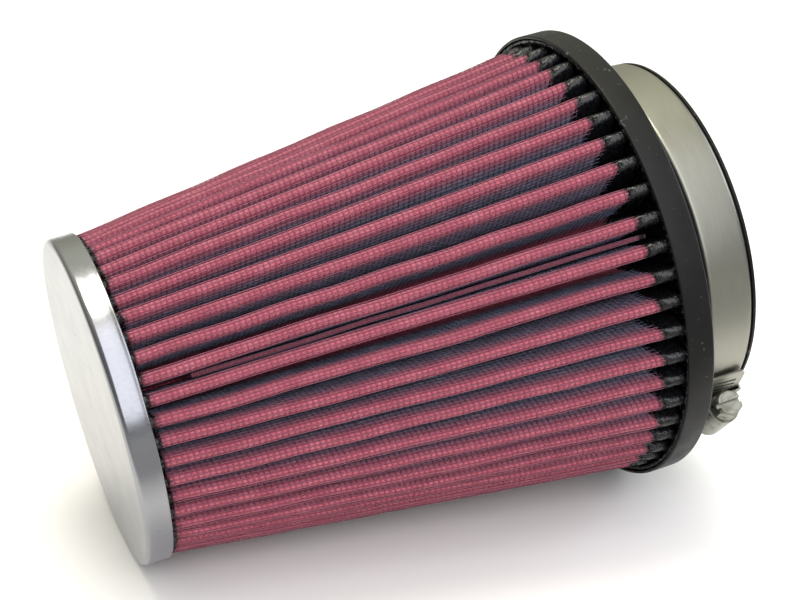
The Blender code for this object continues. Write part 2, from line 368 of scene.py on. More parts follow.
@dataclass(frozen=True)
class CoatedWire(Finish):
    """Aluminium wire, woven and dipped in dark epoxy: slate blue with small soft glints.

    On the crests the coat is filmed with red oil, which hides most of the weave there.
    """

    name: str = "aluminium_wire_epoxy_dipped"
    thick_coat: str = "#4E5264"
    colour: str = "#5C6074"
    thin_coat: str = "#747A8C"
    metallic: float = 0.4
    roughness: float = 0.33
    filmed: str = "#905263"        # with a film of oil over it
    sealed: str = "#101113"        # where the sealant has soaked it
    patch: float = 5.0 * MM        # size of the patches where the coat is thinner

    def pattern(self, tree: Tree, place: Socket) -> dict[str, Socket]:
        """Put the patches, the film of oil and the sealant into the colour."""
        broad = {"Vector": place, "Scale": 1.0 / self.patch, "Detail": 4.0, "Roughness": 0.6}
        patches = add_node(tree, "TexNoise", broad)
        tones = ((0.38, self.thick_coat), (0.55, self.colour), (0.7, self.thin_coat))
        colour = add_node(tree, "ValToRGB", {"Fac": patches}, stops=tones)
        oiled = {"Factor": FoldDepth().share(tree, place), 6: linear(self.filmed), 7: colour}
        colour = add_node(tree, "Mix", oiled, 2, data_type="RGBA")
        soaked = {"Factor": Wicked().share(tree, place), 6: colour, 7: linear(self.sealed)}
        return {"Base Color": add_node(tree, "Mix", soaked, 2, data_type="RGBA")}


@dataclass(frozen=True)
class OiledGauze(Finish):
    """Open cotton gauze soaked in red oil: it bulges through the wire, and its threads show."""

    name: str = "cotton_gauze_oiled_red"
    thick_oil: str = "#9B4457"
    colour: str = "#A95062"
    thin_oil: str = "#B46071"
    roughness: float = 0.6
    valley: str = "#727A8E"        # slate deep in the folds: painted shade, and the look of the bare wire there
    sealed: str = "#0C0C0E"        # where the sealant has soaked it
    sealed_gloss: float = 0.16
    fuzz: str = "#E8A0B4"          # of the loose cotton fibres
    cloud: float = 6.0 * MM        # size of the patches where the oil is thicker
    threads_per_wire: float = 2.0  # cotton threads for each wire, half of the real count

    def weave(self, tree: Tree, counts: dict[str, Socket], times: float) -> Socket:
        """Give a wave that is 0 on each wire or thread and 1 in the middle of each mesh.

        Args:
            tree: The node tree to add to.
            counts: How many wires across and along the cloth a point lies.
            times: Waves for each wire.

        Returns:
            The socket with the wave.
        """
        waves = []
        for count in counts.values():
            turns = add_node(tree, "Math", {0: count, 1: math.pi * times}, operation="MULTIPLY")
            wave = add_node(tree, "Math", {0: turns}, operation="SINE")
            waves.append(add_node(tree, "Math", {0: wave}, operation="ABSOLUTE"))
        return add_node(tree, "Math", dict(enumerate(waves)), operation="MULTIPLY")

    def pattern(self, tree: Tree, place: Socket) -> dict[str, Socket]:
        """Put the weave, the oil, the slate and the sealant into the colour, gloss and surface; the
        slate deep in the folds and the darkening along the wires are painted shade.
        """
        woven = add_node(tree, "TexCoord", out="UV")
        counts = {axis: add_node(tree, "SeparateXYZ", {0: woven}, axis) for axis in "XY"}
        pillow = self.weave(tree, counts, 1.0)
        threads = self.weave(tree, counts, self.threads_per_wire)
        broad = {"Vector": place, "Scale": 1.0 / self.cloud, "Detail": 5.0, "Roughness": 0.62}
        clouds = add_node(tree, "TexNoise", broad)
        tones = ((0.32, self.thick_oil), (0.52, self.colour), (0.72, self.thin_oil))
        colour = add_node(tree, "ValToRGB", {"Fac": clouds}, stops=tones)
        # painted shade: the gauze turns slate deep in the folds, where the bare wire shows too
        deep = {"Factor": FoldDepth().share(tree, place), 6: colour, 7: linear(self.valley)}
        colour = add_node(tree, "Mix", deep, 2, data_type="RGBA")
        # painted shade: the colour darkens along each wire, where the cloth dips under it, and is
        # brightest in the middle of each mesh
        painted_wire_shade = add_node(tree, "MapRange", {"Value": pillow, "To Min": 0.78, "To Max": 1.0})
        colour = add_node(tree, "VectorMath", {0: colour, "Scale": painted_wire_shade}, operation="SCALE")
        share = Wicked().share(tree, place)
        soaked = {"Factor": share, 6: colour, 7: linear(self.sealed)}
        colour = add_node(tree, "Mix", soaked, 2, data_type="RGBA")
        wet = {"Value": share, "To Min": self.roughness, "To Max": self.sealed_gloss}
        gloss = add_node(tree, "MapRange", wet)
        fine = add_node(tree, "Bump", {"Height": threads, "Strength": 0.5, "Distance": 0.08 * MM})
        bump = add_node(
            tree, "Bump", {"Height": pillow, "Strength": 0.8, "Distance": 0.25 * MM, "Normal": fine}
        )
        return {"Base Color": colour, "Roughness": gloss, "Normal": bump}

    def constants(self) -> dict[str, Any]:
        """Give the sheen of the loose fibres."""
        fuzz = linear(self.fuzz)
        return {"Sheen Weight": 0.25, "Sheen Roughness": 0.4, "Sheen Tint": fuzz}


@dataclass(frozen=True)
class CastSealant(Finish):
    """Polyurethane, poured and cured: wet-looking black with lumps and runs."""

    name: str = "polyurethane_poured"
    colour: str = "#070708"
    on_lumps: str = "#17181B"
    roughness: float = 0.12
    dulled: float = 0.34           # roughness where it has run
    lump: float = 0.9 * MM         # size of the lumps where it has run over the wire

    def pattern(self, tree: Tree, place: Socket) -> dict[str, Socket]:
        """Put the lumps into the colour, the gloss and the surface."""
        fine = {"Vector": place, "Scale": 1.0 / self.lump, "Detail": 3.0, "Roughness": 0.55}
        lumps = add_node(tree, "TexNoise", fine)
        tones = ((0.3, self.colour), (0.7, self.on_lumps))
        tone = add_node(tree, "ValToRGB", {"Fac": lumps}, stops=tones)
        gloss = add_node(
            tree, "MapRange",
            {"Value": lumps, "From Min": 0.3, "From Max": 0.7, "To Min": self.roughness,
             "To Max": self.dulled},
        )
        bump = add_node(tree, "Bump", {"Height": lumps, "Strength": 0.6, "Distance": 0.35 * MM})
        return {"Base Color": tone, "Roughness": gloss, "Normal": bump}


@dataclass(frozen=True)
class MouldedRubber(Finish):
    """Black rubber out of an etched mould: matt with a fine grain, dusty bloom and small scuffs."""

    name: str = "rubber_moulded"
    clean: str = "#090909"
    colour: str = "#0D0D0D"
    dusty: str = "#161615"
    scuffed: str = "#4A4A47"
    roughness: float = 0.46
    shine: float = 0.28            # specular level, lowered until the ring is dark enough
    grain: float = 0.25 * MM       # grain of the mould, coarser than real so that it shows
    bloom: float = 11.0 * MM       # size of the patches of bloom
    scuff: float = 2.4 * MM        # distance between scuffs

    def pattern(self, tree: Tree, place: Socket) -> dict[str, Socket]:
        """Put the dust and the scuffs into the colour and gloss, and the grain into the surface."""
        fine = {"Vector": place, "Scale": 1.0 / self.grain, "Detail": 3.0}
        grain = add_node(tree, "TexNoise", fine)
        broad = {"Vector": place, "Scale": 1.0 / self.bloom, "Detail": 6.0, "Roughness": 0.65}
        dust = add_node(tree, "TexNoise", broad)
        tones = ((0.35, self.clean), (0.55, self.colour), (0.75, self.dusty))
        tone = add_node(tree, "ValToRGB", {"Fac": dust}, stops=tones)
        sparse = {"Vector": place, "Scale": 1.0 / self.scuff, "Detail": 1.0, "Distortion": 1.5}
        spots = add_node(tree, "TexNoise", sparse)
        marks = add_node(tree, "MapRange", {"Value": spots, "From Min": 0.7, "From Max": 0.78})
        rubbed = {"Factor": marks, 6: tone, 7: linear(self.scuffed)}
        colour = add_node(tree, "Mix", rubbed, 2, data_type="RGBA")
        gloss = add_node(
            tree, "MapRange",
            {"Value": dust, "From Min": 0.3, "From Max": 0.7, "To Min": self.roughness * 0.75,
             "To Max": self.roughness * 1.25},
        )
        bump = add_node(tree, "Bump", {"Height": grain, "Strength": 0.35, "Distance": 0.05 * MM})
        return {"Base Color": colour, "Roughness": gloss, "Normal": bump}

    def constants(self) -> dict[str, Any]:
        """Give the low shine."""
        return {"Specular IOR Level": self.shine}


@dataclass(frozen=True)
class GreyFelt(Finish):
    """Grey felt that starts as pale as the paper beside it, so that no edge is mirrored."""

    name: str = "felt_grey"
    colour: str = "#909090"
    paper: str = "#F1F0EE"
    roughness: float = 0.9
    starts: float = -0.07          # y of its pale edge
    fade: float = 0.05             # how wide the fade is

    def pattern(self, tree: Tree, place: Socket) -> dict[str, Socket]:
        """Put the fade into the colour."""
        away = add_node(tree, "SeparateXYZ", {0: place}, "Y")
        limits = {"Value": away, "From Min": self.starts, "From Max": self.starts - self.fade}
        tones = ((0.0, self.paper), (1.0, self.colour))
        share = add_node(tree, "MapRange", limits)
        return {"Base Color": add_node(tree, "ValToRGB", {"Fac": share}, stops=tones)}


# ---------------------------------------------------------------------------------------------
# Meshes
# ---------------------------------------------------------------------------------------------


@dataclass
class Skin:
    """Points and faces of a mesh before it becomes a piece."""

    points: Array
    faces: Any
    pattern: Array | None = None   # two pattern coordinates for each point

    def mesh(self, name: str, crease: float) -> bpy.types.Mesh:
        """Make the mesh, smooth except where faces meet at more than the crease angle.

        Args:
            name: The mesh's name.
            crease: The angle in degrees.

        Returns:
            The mesh.
        """
        made = bpy.data.meshes.new(name)
        made.from_pydata(self.points.reshape(-1, 3), [], self.faces)
        if self.pattern is not None:
            layer = made.uv_layers.new(name="weave")
            corners = np.zeros(len(made.loops), dtype=np.int32)
            made.loops.foreach_get("vertex_index", corners)
            flat = self.pattern.reshape(-1, 2)[corners].astype(np.float32)
            layer.data.foreach_set("uv", flat.ravel())
        made.update()
        made.shade_smooth()
        made.set_sharp_from_angle(angle=math.radians(crease))
        return made


def grid_faces(rows: int, columns: int, close_rows: bool, close_columns: bool) -> Array:
    """Quads of a grid of points.

    Args:
        rows: Rows of points.
        columns: Points in a row.
        close_rows: Whether the last row joins the first.
        close_columns: Whether each row's last point joins its first.

    Returns:
        Four point numbers for each quad.
    """
    row = np.arange(rows if close_rows else rows - 1)[:, None]
    column = np.arange(columns if close_columns else columns - 1)[None, :]
    below = (row + 1) % rows
    beside = (column + 1) % columns
    quads = np.stack(
        [row * columns + column, row * columns + beside, below * columns + beside,
         below * columns + column],
        axis=-1,
    )
    return quads.reshape(-1, 4).astype(np.int32)


def tubes(paths: Array, facing: Array, radius: float, closed: bool) -> Skin:
    """Square-sectioned tubes along many paths, shaded round.

    Args:
        paths: Points of each path, as paths by points by 3.
        facing: For each point, a direction across the path.
        radius: The wire's radius.
        closed: Whether each path is a loop.

    Returns:
        One skin that holds all the tubes.
    """
    if closed:
        tangent = np.roll(paths, -1, axis=1) - np.roll(paths, 1, axis=1)
    else:
        tangent = np.gradient(paths, axis=1)
    side = np.cross(tangent, facing)
    side /= np.linalg.norm(side, axis=-1, keepdims=True)
    over = np.cross(side, tangent)
    over /= np.linalg.norm(over, axis=-1, keepdims=True)
    turns = np.arange(4) * 0.5 * math.pi
    ring = (
        paths[:, :, None, :]
        + radius * np.cos(turns)[:, None] * side[:, :, None, :]
        + radius * np.sin(turns)[:, None] * over[:, :, None, :]
    )
    count, length = paths.shape[:2]
    faces = grid_faces(length, 4, closed, True)
    if not closed:
        start = np.array([[0, 3, 2, 1]])
        end = start[:, ::-1] + 4 * (length - 1)
        faces = np.concatenate([faces[:, ::-1], end, start])[:, ::-1]
    shift = (np.arange(count) * length * 4)[:, None, None]
    return Skin(ring.reshape(-1, 3), (faces[None] + shift).reshape(-1, 4).astype(np.int32))


def filleted(outline: Outline, radii: Sequence[float], steps: int = 6) -> Outline:
    """Round the corners of a closed outline.

    Args:
        outline: The corners.
        radii: The radius at each corner.
        steps: Steps in each rounded corner.

    Returns:
        The rounded outline.
    """
    rounded: Outline = []
    count = len(outline)
    for i, radius in enumerate(radii):
        corner = Vector(outline[i])
        back = Vector(outline[i - 1]) - corner
        ahead = Vector(outline[(i + 1) % count]) - corner
        if radius <= 0.0:
            rounded.append(tuple(corner))
            continue
        half = 0.5 * back.angle(ahead)
        reach = min(radius / math.tan(half), 0.48 * back.length, 0.48 * ahead.length)
        start = corner + back.normalized() * reach
        end = corner + ahead.normalized() * reach
        middle = (back.normalized() + ahead.normalized()).normalized()
        centre = corner + middle * (reach / math.cos(half))
        first = start - centre
        sweep = first.angle_signed(end - centre)
        for step in range(steps + 1):
            turned = first.copy()
            turned.rotate(Matrix.Rotation(-sweep * step / steps, 2))
            rounded.append(tuple(centre + turned))
    return rounded


def arc(
    centre: tuple[float, float], radius: float, start: float, end: float, steps: int
) -> Outline:
    """Points on an arc, both ends included, with its angles in degrees."""
    turns = [math.radians(start + (end - start) * i / steps) for i in range(steps + 1)]
    return [(centre[0] + radius * math.cos(a), centre[1] + radius * math.sin(a)) for a in turns]


def turned(profile: Outline, segments: int, open_ends: bool = False) -> Skin:
    """Spin an outline of (radius, height) points round the z axis.

    Args:
        profile: The outline. With open_ends it starts and ends on the axis.
        segments: Steps round the axis.
        open_ends: Whether the outline is a line from axis to axis instead of a loop.

    Returns:
        The closed skin.
    """
    clocks = np.arange(segments) * 2.0 * math.pi / segments
    line = np.array(profile[1:-1] if open_ends else profile)
    points = np.stack(
        [line[:, :1] * np.cos(clocks), line[:, :1] * np.sin(clocks),
         np.repeat(line[:, 1:], segments, axis=1)],
        axis=-1,
    ).reshape(-1, 3)
    faces = grid_faces(len(line), segments, not open_ends, True).tolist()
    if open_ends:
        first, last = len(points), len(points) + 1
        poles = [[0.0, 0.0, profile[0][1]], [0.0, 0.0, profile[-1][1]]]
        points = np.concatenate([points, np.array(poles)])
        top = (len(line) - 1) * segments
        for i in range(segments):
            j = (i + 1) % segments
            faces.append([first, j, i])
            faces.append([last, top + i, top + j])
    return Skin(points, faces)


def swept(section: Outline, clocks: Array) -> Skin:
    """Carry a closed (radius, height) section round part of the z axis, with both ends shut.

    Args:
        section: The section's outline.
        clocks: The clock angle at each step.

    Returns:
        The closed skin.
    """
    line = np.array(section)
    points = np.stack(
        [line[None, :, 0] * np.cos(clocks)[:, None], line[None, :, 0] * np.sin(clocks)[:, None],
         np.repeat(line[None, :, 1], len(clocks), axis=0)],
        axis=-1,
    ).reshape(-1, 3)
    count = len(section)
    faces = grid_faces(len(clocks), count, False, True).tolist()
    faces.append(list(range(count))[::-1])
    faces.append([(len(clocks) - 1) * count + i for i in range(count)])
    return Skin(points, faces)


def prism(outline: Outline, start: float, end: float) -> Skin:
    """Extrude a flat outline along z from start to end."""
    count = len(outline)
    points = [(x, y, z) for z in (start, end) for x, y in outline]
    faces = grid_faces(2, count, False, True).tolist()
    faces += [list(range(count))[::-1], list(range(count, 2 * count))]
    return Skin(np.array(points), faces)


def joined(skins: Sequence[Skin]) -> Skin:
    """Put several skins into one."""
    points, faces, shift = [], [], 0
    for skin in skins:
        points.append(skin.points.reshape(-1, 3))
        faces += [[shift + int(i) for i in face] for face in skin.faces]
        shift += len(points[-1])
    return Skin(np.concatenate(points), faces)


@dataclass
class Bench:
    """Puts pieces where they belong on the filter and dresses them."""

    lying: Matrix
    nodes: dict[str, bpy.types.Object]
    materials: dict[str, bpy.types.Material] = field(default_factory=dict)

    def dress(self, finish: Finish) -> bpy.types.Material:
        """Give a finish's material, made once."""
        if finish.name not in self.materials:
            self.materials[finish.name] = finish.material(self.lying)
        return self.materials[finish.name]

    def add(
        self,
        name: str,
        shape: Skin | bpy.types.Mesh,
        finish: Finish,
        slot: Slot,
        stands_for: Sequence[str] = (),
        body: Body = Body.FILTER,
        place: Matrix | None = None,
        crease: float = ALL_SMOOTH,
        edge: float = 0.0,
    ) -> None:
        """Add one piece to the filter.

        Args:
            name: The piece's name.
            shape: Its skin or its mesh, in the filter's own space.
            finish: Its finish.
            slot: Not used; the record's material slot that it shows.
            stands_for: The plain solids that it replaces.
            body: The body it rides on.
            place: Where it goes in the filter's space, if not at its origin.
            crease: The angle in degrees from which an edge of the skin looks sharp.
            edge: How wide its edges are broken, or 0.
        """
        mesh = shape.mesh(name, crease) if isinstance(shape, Skin) else shape
        piece = bpy.data.objects.new(name, mesh)
        bpy.context.scene.collection.objects.link(piece)
        mesh.materials.append(self.dress(finish))
        mesh.transform(self.lying @ (place or Matrix.Identity(4)))
        if edge > 0.0:
            broken = piece.modifiers.new("broken_edges", "BEVEL")
            broken.width = edge
            broken.segments = 2
            broken.limit_method = "ANGLE"
            broken.angle_limit = math.radians(40.0)
        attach(piece, body.value)
        if stands_for:
            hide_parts(*stands_for)
        LOG.info("%s: %d faces on %s", name, len(mesh.polygons), body.value)

    def keep(self, node: str, finish: Finish) -> None:
        """Keep a plain solid whose shape is right, with a better material."""
        solid = self.nodes[node]
        solid.data.materials.clear()
        solid.data.materials.append(self.dress(finish))
        LOG.info("%s: kept", node)


# ---------------------------------------------------------------------------------------------
# The filter's sub-assemblies
# ---------------------------------------------------------------------------------------------


@dataclass
class EndCap:
    """The pressed cup over the small end, and the sealant disc inside it."""

    radius: float = 44.0 * MM
    depth: float = 7.1 * MM
    wall: float = 0.7 * MM
    corner: float = 1.5 * MM
    hem: float = 0.14 * MM         # how far the rolled edge stands out
    roll: float = 0.35 * MM        # radius of the rolled edge
    rim: float = 2.6 * MM          # from the outside to the flat of the face
    dish: float = 0.22 * MM        # how far the middle of the face is drawn in
    segments: int = 256

    def profile(self) -> Outline:
        """Outline of the cup from the middle of its face round to the middle of its inside."""
        out, deep, wall = self.radius, self.depth, self.wall
        face = [(out * share, self.dish * (1.0 - share * share)) for share in (0.0, 0.3, 0.6, 0.85)]
        face.append((out - self.rim, 0.0))
        line = face + arc((out - self.corner, self.corner), self.corner, -90.0, 0.0, 9)
        line += [(out, 0.5 * deep), (out, deep - 1.3 * MM), (out + 0.5 * self.hem, deep - 0.9 * MM)]
        line += arc((out - self.roll + self.hem, deep - self.roll), self.roll, -20.0, 90.0, 6)
        line += [(out - wall, deep - 0.15 * MM), (out - wall, 0.5 * deep)]
        line += arc((out - self.corner, self.corner), self.corner - wall, 0.0, -90.0, 4)
        line += [(0.5 * out, wall + self.dish), (0.0, wall + self.dish)]
        return line

    def build(self, bench: Bench) -> None:
        """Build the cap and dress the sealant behind it."""
        cup = turned(self.profile(), self.segments, open_ends=True)
        bench.add(
            "end_cap_pressed", cup, PolishedSteel(), Slot.CAP_STEEL, ["end_cap"], crease=50.0
        )
        bench.keep("cap_potting", CastSealant())


@dataclass(frozen=True)
class PleatShape:
    """The folded sheet. A point on it is given by how far along the fold it lies from a crest."""

    pleats: int = 50
    depth: float = 15.3 * MM
    crest_bend: float = 1.6 * MM
    valley_bend: float = 0.35 * MM
    first_crest: float = math.radians(66.1)
    small_end: float = 7.1 * MM
    large_end: float = 141.5 * MM
    small_radius: float = 42.9 * MM
    large_radius: float = 61.0 * MM
    lean: float = math.radians(1.2)       # how far the folds run round between the two ends
    most_lean: float = math.radians(160.0)  # the clock at which they lean twice as far
    waves: tuple[float, ...] = (150.0 * MM, 61.0 * MM, 27.0 * MM)
    sway: float = 0.16 * MM               # how far a fold wanders to the side
    rise: float = 0.12 * MM               # how far a crest wanders up and down
    seed: int = 11

    def crest_radius(self, height: Array) -> Array:
        """Radius of the crests at a height."""
        share = (height - self.small_end) / (self.large_end - self.small_end)
        return self.small_radius + (self.large_radius - self.small_radius) * share

    def half_fold(self) -> float:
        """Length of half a fold, from crest to valley."""
        straight = self.depth - self.crest_bend - self.valley_bend
        return straight + 0.5 * math.pi * (self.crest_bend + self.valley_bend)

    def wander(self, height: Array, pleat: Array, size: float, turn: int) -> Array:
        """A smooth small wandering of each fold along its length.

        Args:
            height: Heights.
            pleat: Numbers of the folds.
            size: How far it goes.
            turn: Which of the wanderings, so that two differ.

        Returns:
            The distances.
        """
        draw = np.random.default_rng(self.seed + turn)
        phases = draw.uniform(0.0, 2.0 * math.pi, (len(self.waves), self.pleats))
        weights = draw.normal(0.0, 1.0, (len(self.waves), self.pleats))
        total = np.zeros(np.broadcast(height, pleat).shape)
        for i, wave in enumerate(self.waves):
            turns = 2.0 * math.pi * height / wave + phases[i][pleat]
            total = total + weights[i][pleat] * np.sin(turns) / (1.0 + 0.6 * i)
        return size * total

    def leaning(self, clock: Array | float, height: Array) -> Array:
        """How far round the folds near a clock angle have run at a height.

        Args:
            clock: The clock angle at the large end.
            height: Heights.

        Returns:
            The angles.
        """
        most = self.lean * (1.0 + np.cos(clock - self.most_lean))
        return most * (self.large_end - height) / (self.large_end - self.small_end)

    def point(
        self, along: Array, inset: Array, height: Array, pleat: Array, measured: float = 0.0
    ) -> Array:
        """Places of points on the folded sheet.

        Args:
            along: Distance along the fold from its crest, negative on the near side.
            inset: How far inside the outer face of the sheet.
            height: Height along the filter's axis.
            pleat: Number of the fold.
            measured: The inset at which the distance along the fold is measured.

        Returns:
            The points, with a last axis of 3.
        """
        along, inset, height, pleat = np.broadcast_arrays(along, inset, height, pleat)
        pitch = 2.0 * math.pi / self.pleats
        crest = self.crest_radius(height)
        outer = crest - self.crest_bend
        inner = crest - self.depth + self.valley_bend
        over = 0.5 * math.pi * (self.crest_bend - measured)
        under = 0.5 * math.pi * (self.valley_bend + measured)
        flank = self.depth - self.crest_bend - self.valley_bend
        reach = np.abs(along)
        bend = np.clip(reach / over, 0.0, 1.0) * 0.5 * math.pi
        share = np.clip((reach - over) / flank, 0.0, 1.0)
        tuck = np.clip((reach - over - flank) / under, 0.0, 1.0) * 0.5 * math.pi
        top = self.crest_bend - inset
        bottom = self.valley_bend + inset
        crown = outer + top * np.cos(bend)
        radius = np.where(bend < 0.5 * math.pi, crown, outer + share * (inner - outer))
        radius = radius - bottom * np.sin(tuck)
        side = top * np.sin(bend) * (1.0 - share) + share * (0.5 * pitch * inner - bottom)
        clock = np.where(tuck > 0.0, 0.5 * pitch - bottom * np.cos(tuck) / radius, side / radius)
        lively = 1.0 - share
        radius = radius + lively * self.wander(height, pleat, self.rise, 1)
        middle = self.first_crest + pleat * pitch
        shift = self.wander(height, pleat, self.sway, 2) / crest
        clock = middle + np.sign(along) * clock + self.leaning(middle, height) + shift * lively
        return np.stack([radius * np.cos(clock), radius * np.sin(clock), height], axis=-1)


@dataclass
class Screen:
    """Woven wire on one face of the pleats, as real wires."""

    name: str
    shape: PleatShape
    inset: float                   # of the middle of the weave
    pitch: float = WIRE_PITCH
    wire: float = 0.115 * MM       # radius of the wire
    crimp: float = 0.16 * MM       # how far a round wire goes over and under
    start: float = 5.2 * MM
    rings: int = 94
    rings_in_a_piece: int = 24
    steps: int = 24                # along a lengthwise wire
    seen: int = 7                  # lengthwise wires on each side of a crest
    blind: float = 12.2 * MM       # from a crest to where a round wire turns unseen
    from_valley: bool = False
    seed: int = 5

    def stations(self) -> tuple[Array, Array, Array]:
        """Where the lengthwise wires lie along each fold, on the part of it that can be seen.

        Returns:
            Distance along the fold, whether a wire crosses there, and its number, each as
            folds by stations.
        """
        half = self.shape.half_fold()
        pleats = self.shape.pleats
        if self.from_valley:
            reach = half - (np.arange(self.seen) + 0.5) * self.pitch
            spots = np.concatenate([-reach, [0.0], reach[::-1]])
            along = np.repeat(spots[None], pleats, axis=0)
            crossing = np.abs(along) > 1e-9
            number = np.repeat(np.arange(len(spots))[None], pleats, axis=0)
            return along, crossing, number
        phase = np.random.default_rng(self.seed).uniform(-0.5, 0.5, (pleats, 1)) * self.pitch
        spots = np.arange(-self.seen, self.seen + 1) * self.pitch + phase
        blind = np.full((pleats, 1), self.blind)
        along = np.concatenate([np.full((pleats, 1), -half), -blind, spots, blind], axis=1)
        crossing = np.ones(along.shape, dtype=bool)
        crossing[:, [0, 1, -1]] = False
        number = np.repeat(np.arange(along.shape[1])[None], pleats, axis=0)
        return along, crossing, number

    def build(self, bench: Bench, stands_for: str) -> None:
        """Weave the screen.

        Args:
            bench: Where pieces are put.
            stands_for: The plain folded solid that the wires replace.
        """
        along, crossing, number = self.stations()
        pleats, count = along.shape
        pleat = np.arange(pleats)[:, None]
        for first in range(0, self.rings, self.rings_in_a_piece):
            ring = np.arange(first, min(first + self.rings_in_a_piece, self.rings))[:, None, None]
            height = self.start + ring * self.pitch
            sign = np.where((ring + number[None]) % 2 == 0, 1.0, -1.0) * crossing[None]
            paths = self.shape.point(
                along[None], self.inset + sign * self.crimp, height, pleat[None], self.inset
            )
            paths = paths.reshape(len(ring), pleats * count, 3)
            facing = np.zeros_like(paths)
            facing[..., 2] = 1.0
            name = f"{self.name}_round_wires_{first // self.rings_in_a_piece + 1}"
            wires = tubes(paths, facing, self.wire, closed=True)
            bench.add(name, wires, CoatedWire(), Slot.COATED_MESH)
        heights = np.linspace(self.start - 0.5 * MM, self.shape.large_end - 0.3 * MM, self.steps)
        wires = along[crossing][:, None]
        owner = np.repeat(pleat, count, axis=1)[crossing][:, None]
        paths = self.shape.point(wires, self.inset, heights[None], owner, self.inset)
        outer = self.shape.point(wires, self.inset - 0.1 * MM, heights[None], owner, self.inset)
        wires = tubes(paths, outer - paths, self.wire, closed=False)
        bench.add(f"{self.name}_long_wires", wires, CoatedWire(), Slot.COATED_MESH, [stands_for])

    def counts(self, along: Array, height: Array, pleat: Array) -> Array:
        """How many wires across and along the screen a point of the sheet lies."""
        if self.from_valley:
            across = (self.shape.half_fold() - np.abs(along)) / self.pitch + 0.5
        else:
            draw = np.random.default_rng(self.seed)
            phase = draw.uniform(-0.5, 0.5, self.shape.pleats) * self.pitch
            across = (along - phase[pleat]) / self.pitch
        return np.stack(np.broadcast_arrays(across, (height - self.start) / self.pitch), axis=-1)


